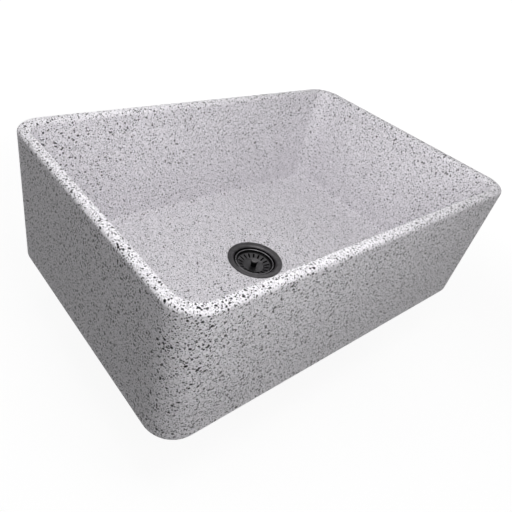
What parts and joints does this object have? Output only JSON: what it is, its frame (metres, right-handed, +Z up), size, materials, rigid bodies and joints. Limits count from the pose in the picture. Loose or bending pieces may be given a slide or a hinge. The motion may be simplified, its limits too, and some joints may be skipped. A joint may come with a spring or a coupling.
{
  "type": "farmhouse sink",
  "caption": "Single-bowl apron-front fireclay sink with rounded corners, a dished floor, and a basket strainer whose basket lifts out and whose knob raises the stopper.",
  "frame": {"origin": "centre of the basin's flat underside, on the drain's axis", "axes": "+Z up, out of the bowl; +X along the apron front, to the right of someone standing at the sink; +Y to the back, so the apron faces -Y"},
  "size_m": [0.762, 0.508, 0.3978],
  "materials": {
    "glaze": "glossy glaze with grey flecks",
    "seal": "matt",
    "gunmetal": "satin gunmetal",
    "rubber": "matt",
    "fibre": "matt",
    "zinc": "cast zinc",
    "spigot_metal": "turned",
    "white_plastic": "matt",
    "chrome": "polished",
    "basket_metal": "satin gunmetal",
    "post_metal": "dark satin",
    "knob_metal": "satin",
    "stem_steel": "turned"
  },
  "bodies": {
    "sink": {"basin": "glaze", "flange_seal": "seal", "strainer_body": "gunmetal", "rubber_gasket": "rubber", "friction_washer": "fibre", "lock_nut": "zinc", "outlet_spigot": "spigot_metal", "tailpiece_washer": "white_plastic", "tailpiece": "chrome", "coupling_nut": "chrome"},
    "strainer_basket": {"basket": "basket_metal", "post_housing": "post_metal"},
    "drain_stopper": {"knob": "knob_metal", "stem": "stem_steel", "clamp_plate": "stem_steel", "stopper": "rubber", "stem_nut": "stem_steel"}
  },
  "joints": [
    {"name": "basket_lift", "type": "slide", "parent": "sink", "child": "strainer_basket", "axis": [0, 0, 1], "range_m": [0, 0.29]},
    {"name": "stopper_lift", "type": "slide", "parent": "strainer_basket", "child": "drain_stopper", "axis": [0, 0, 1], "range_m": [0, 0.008]}
  ]
}
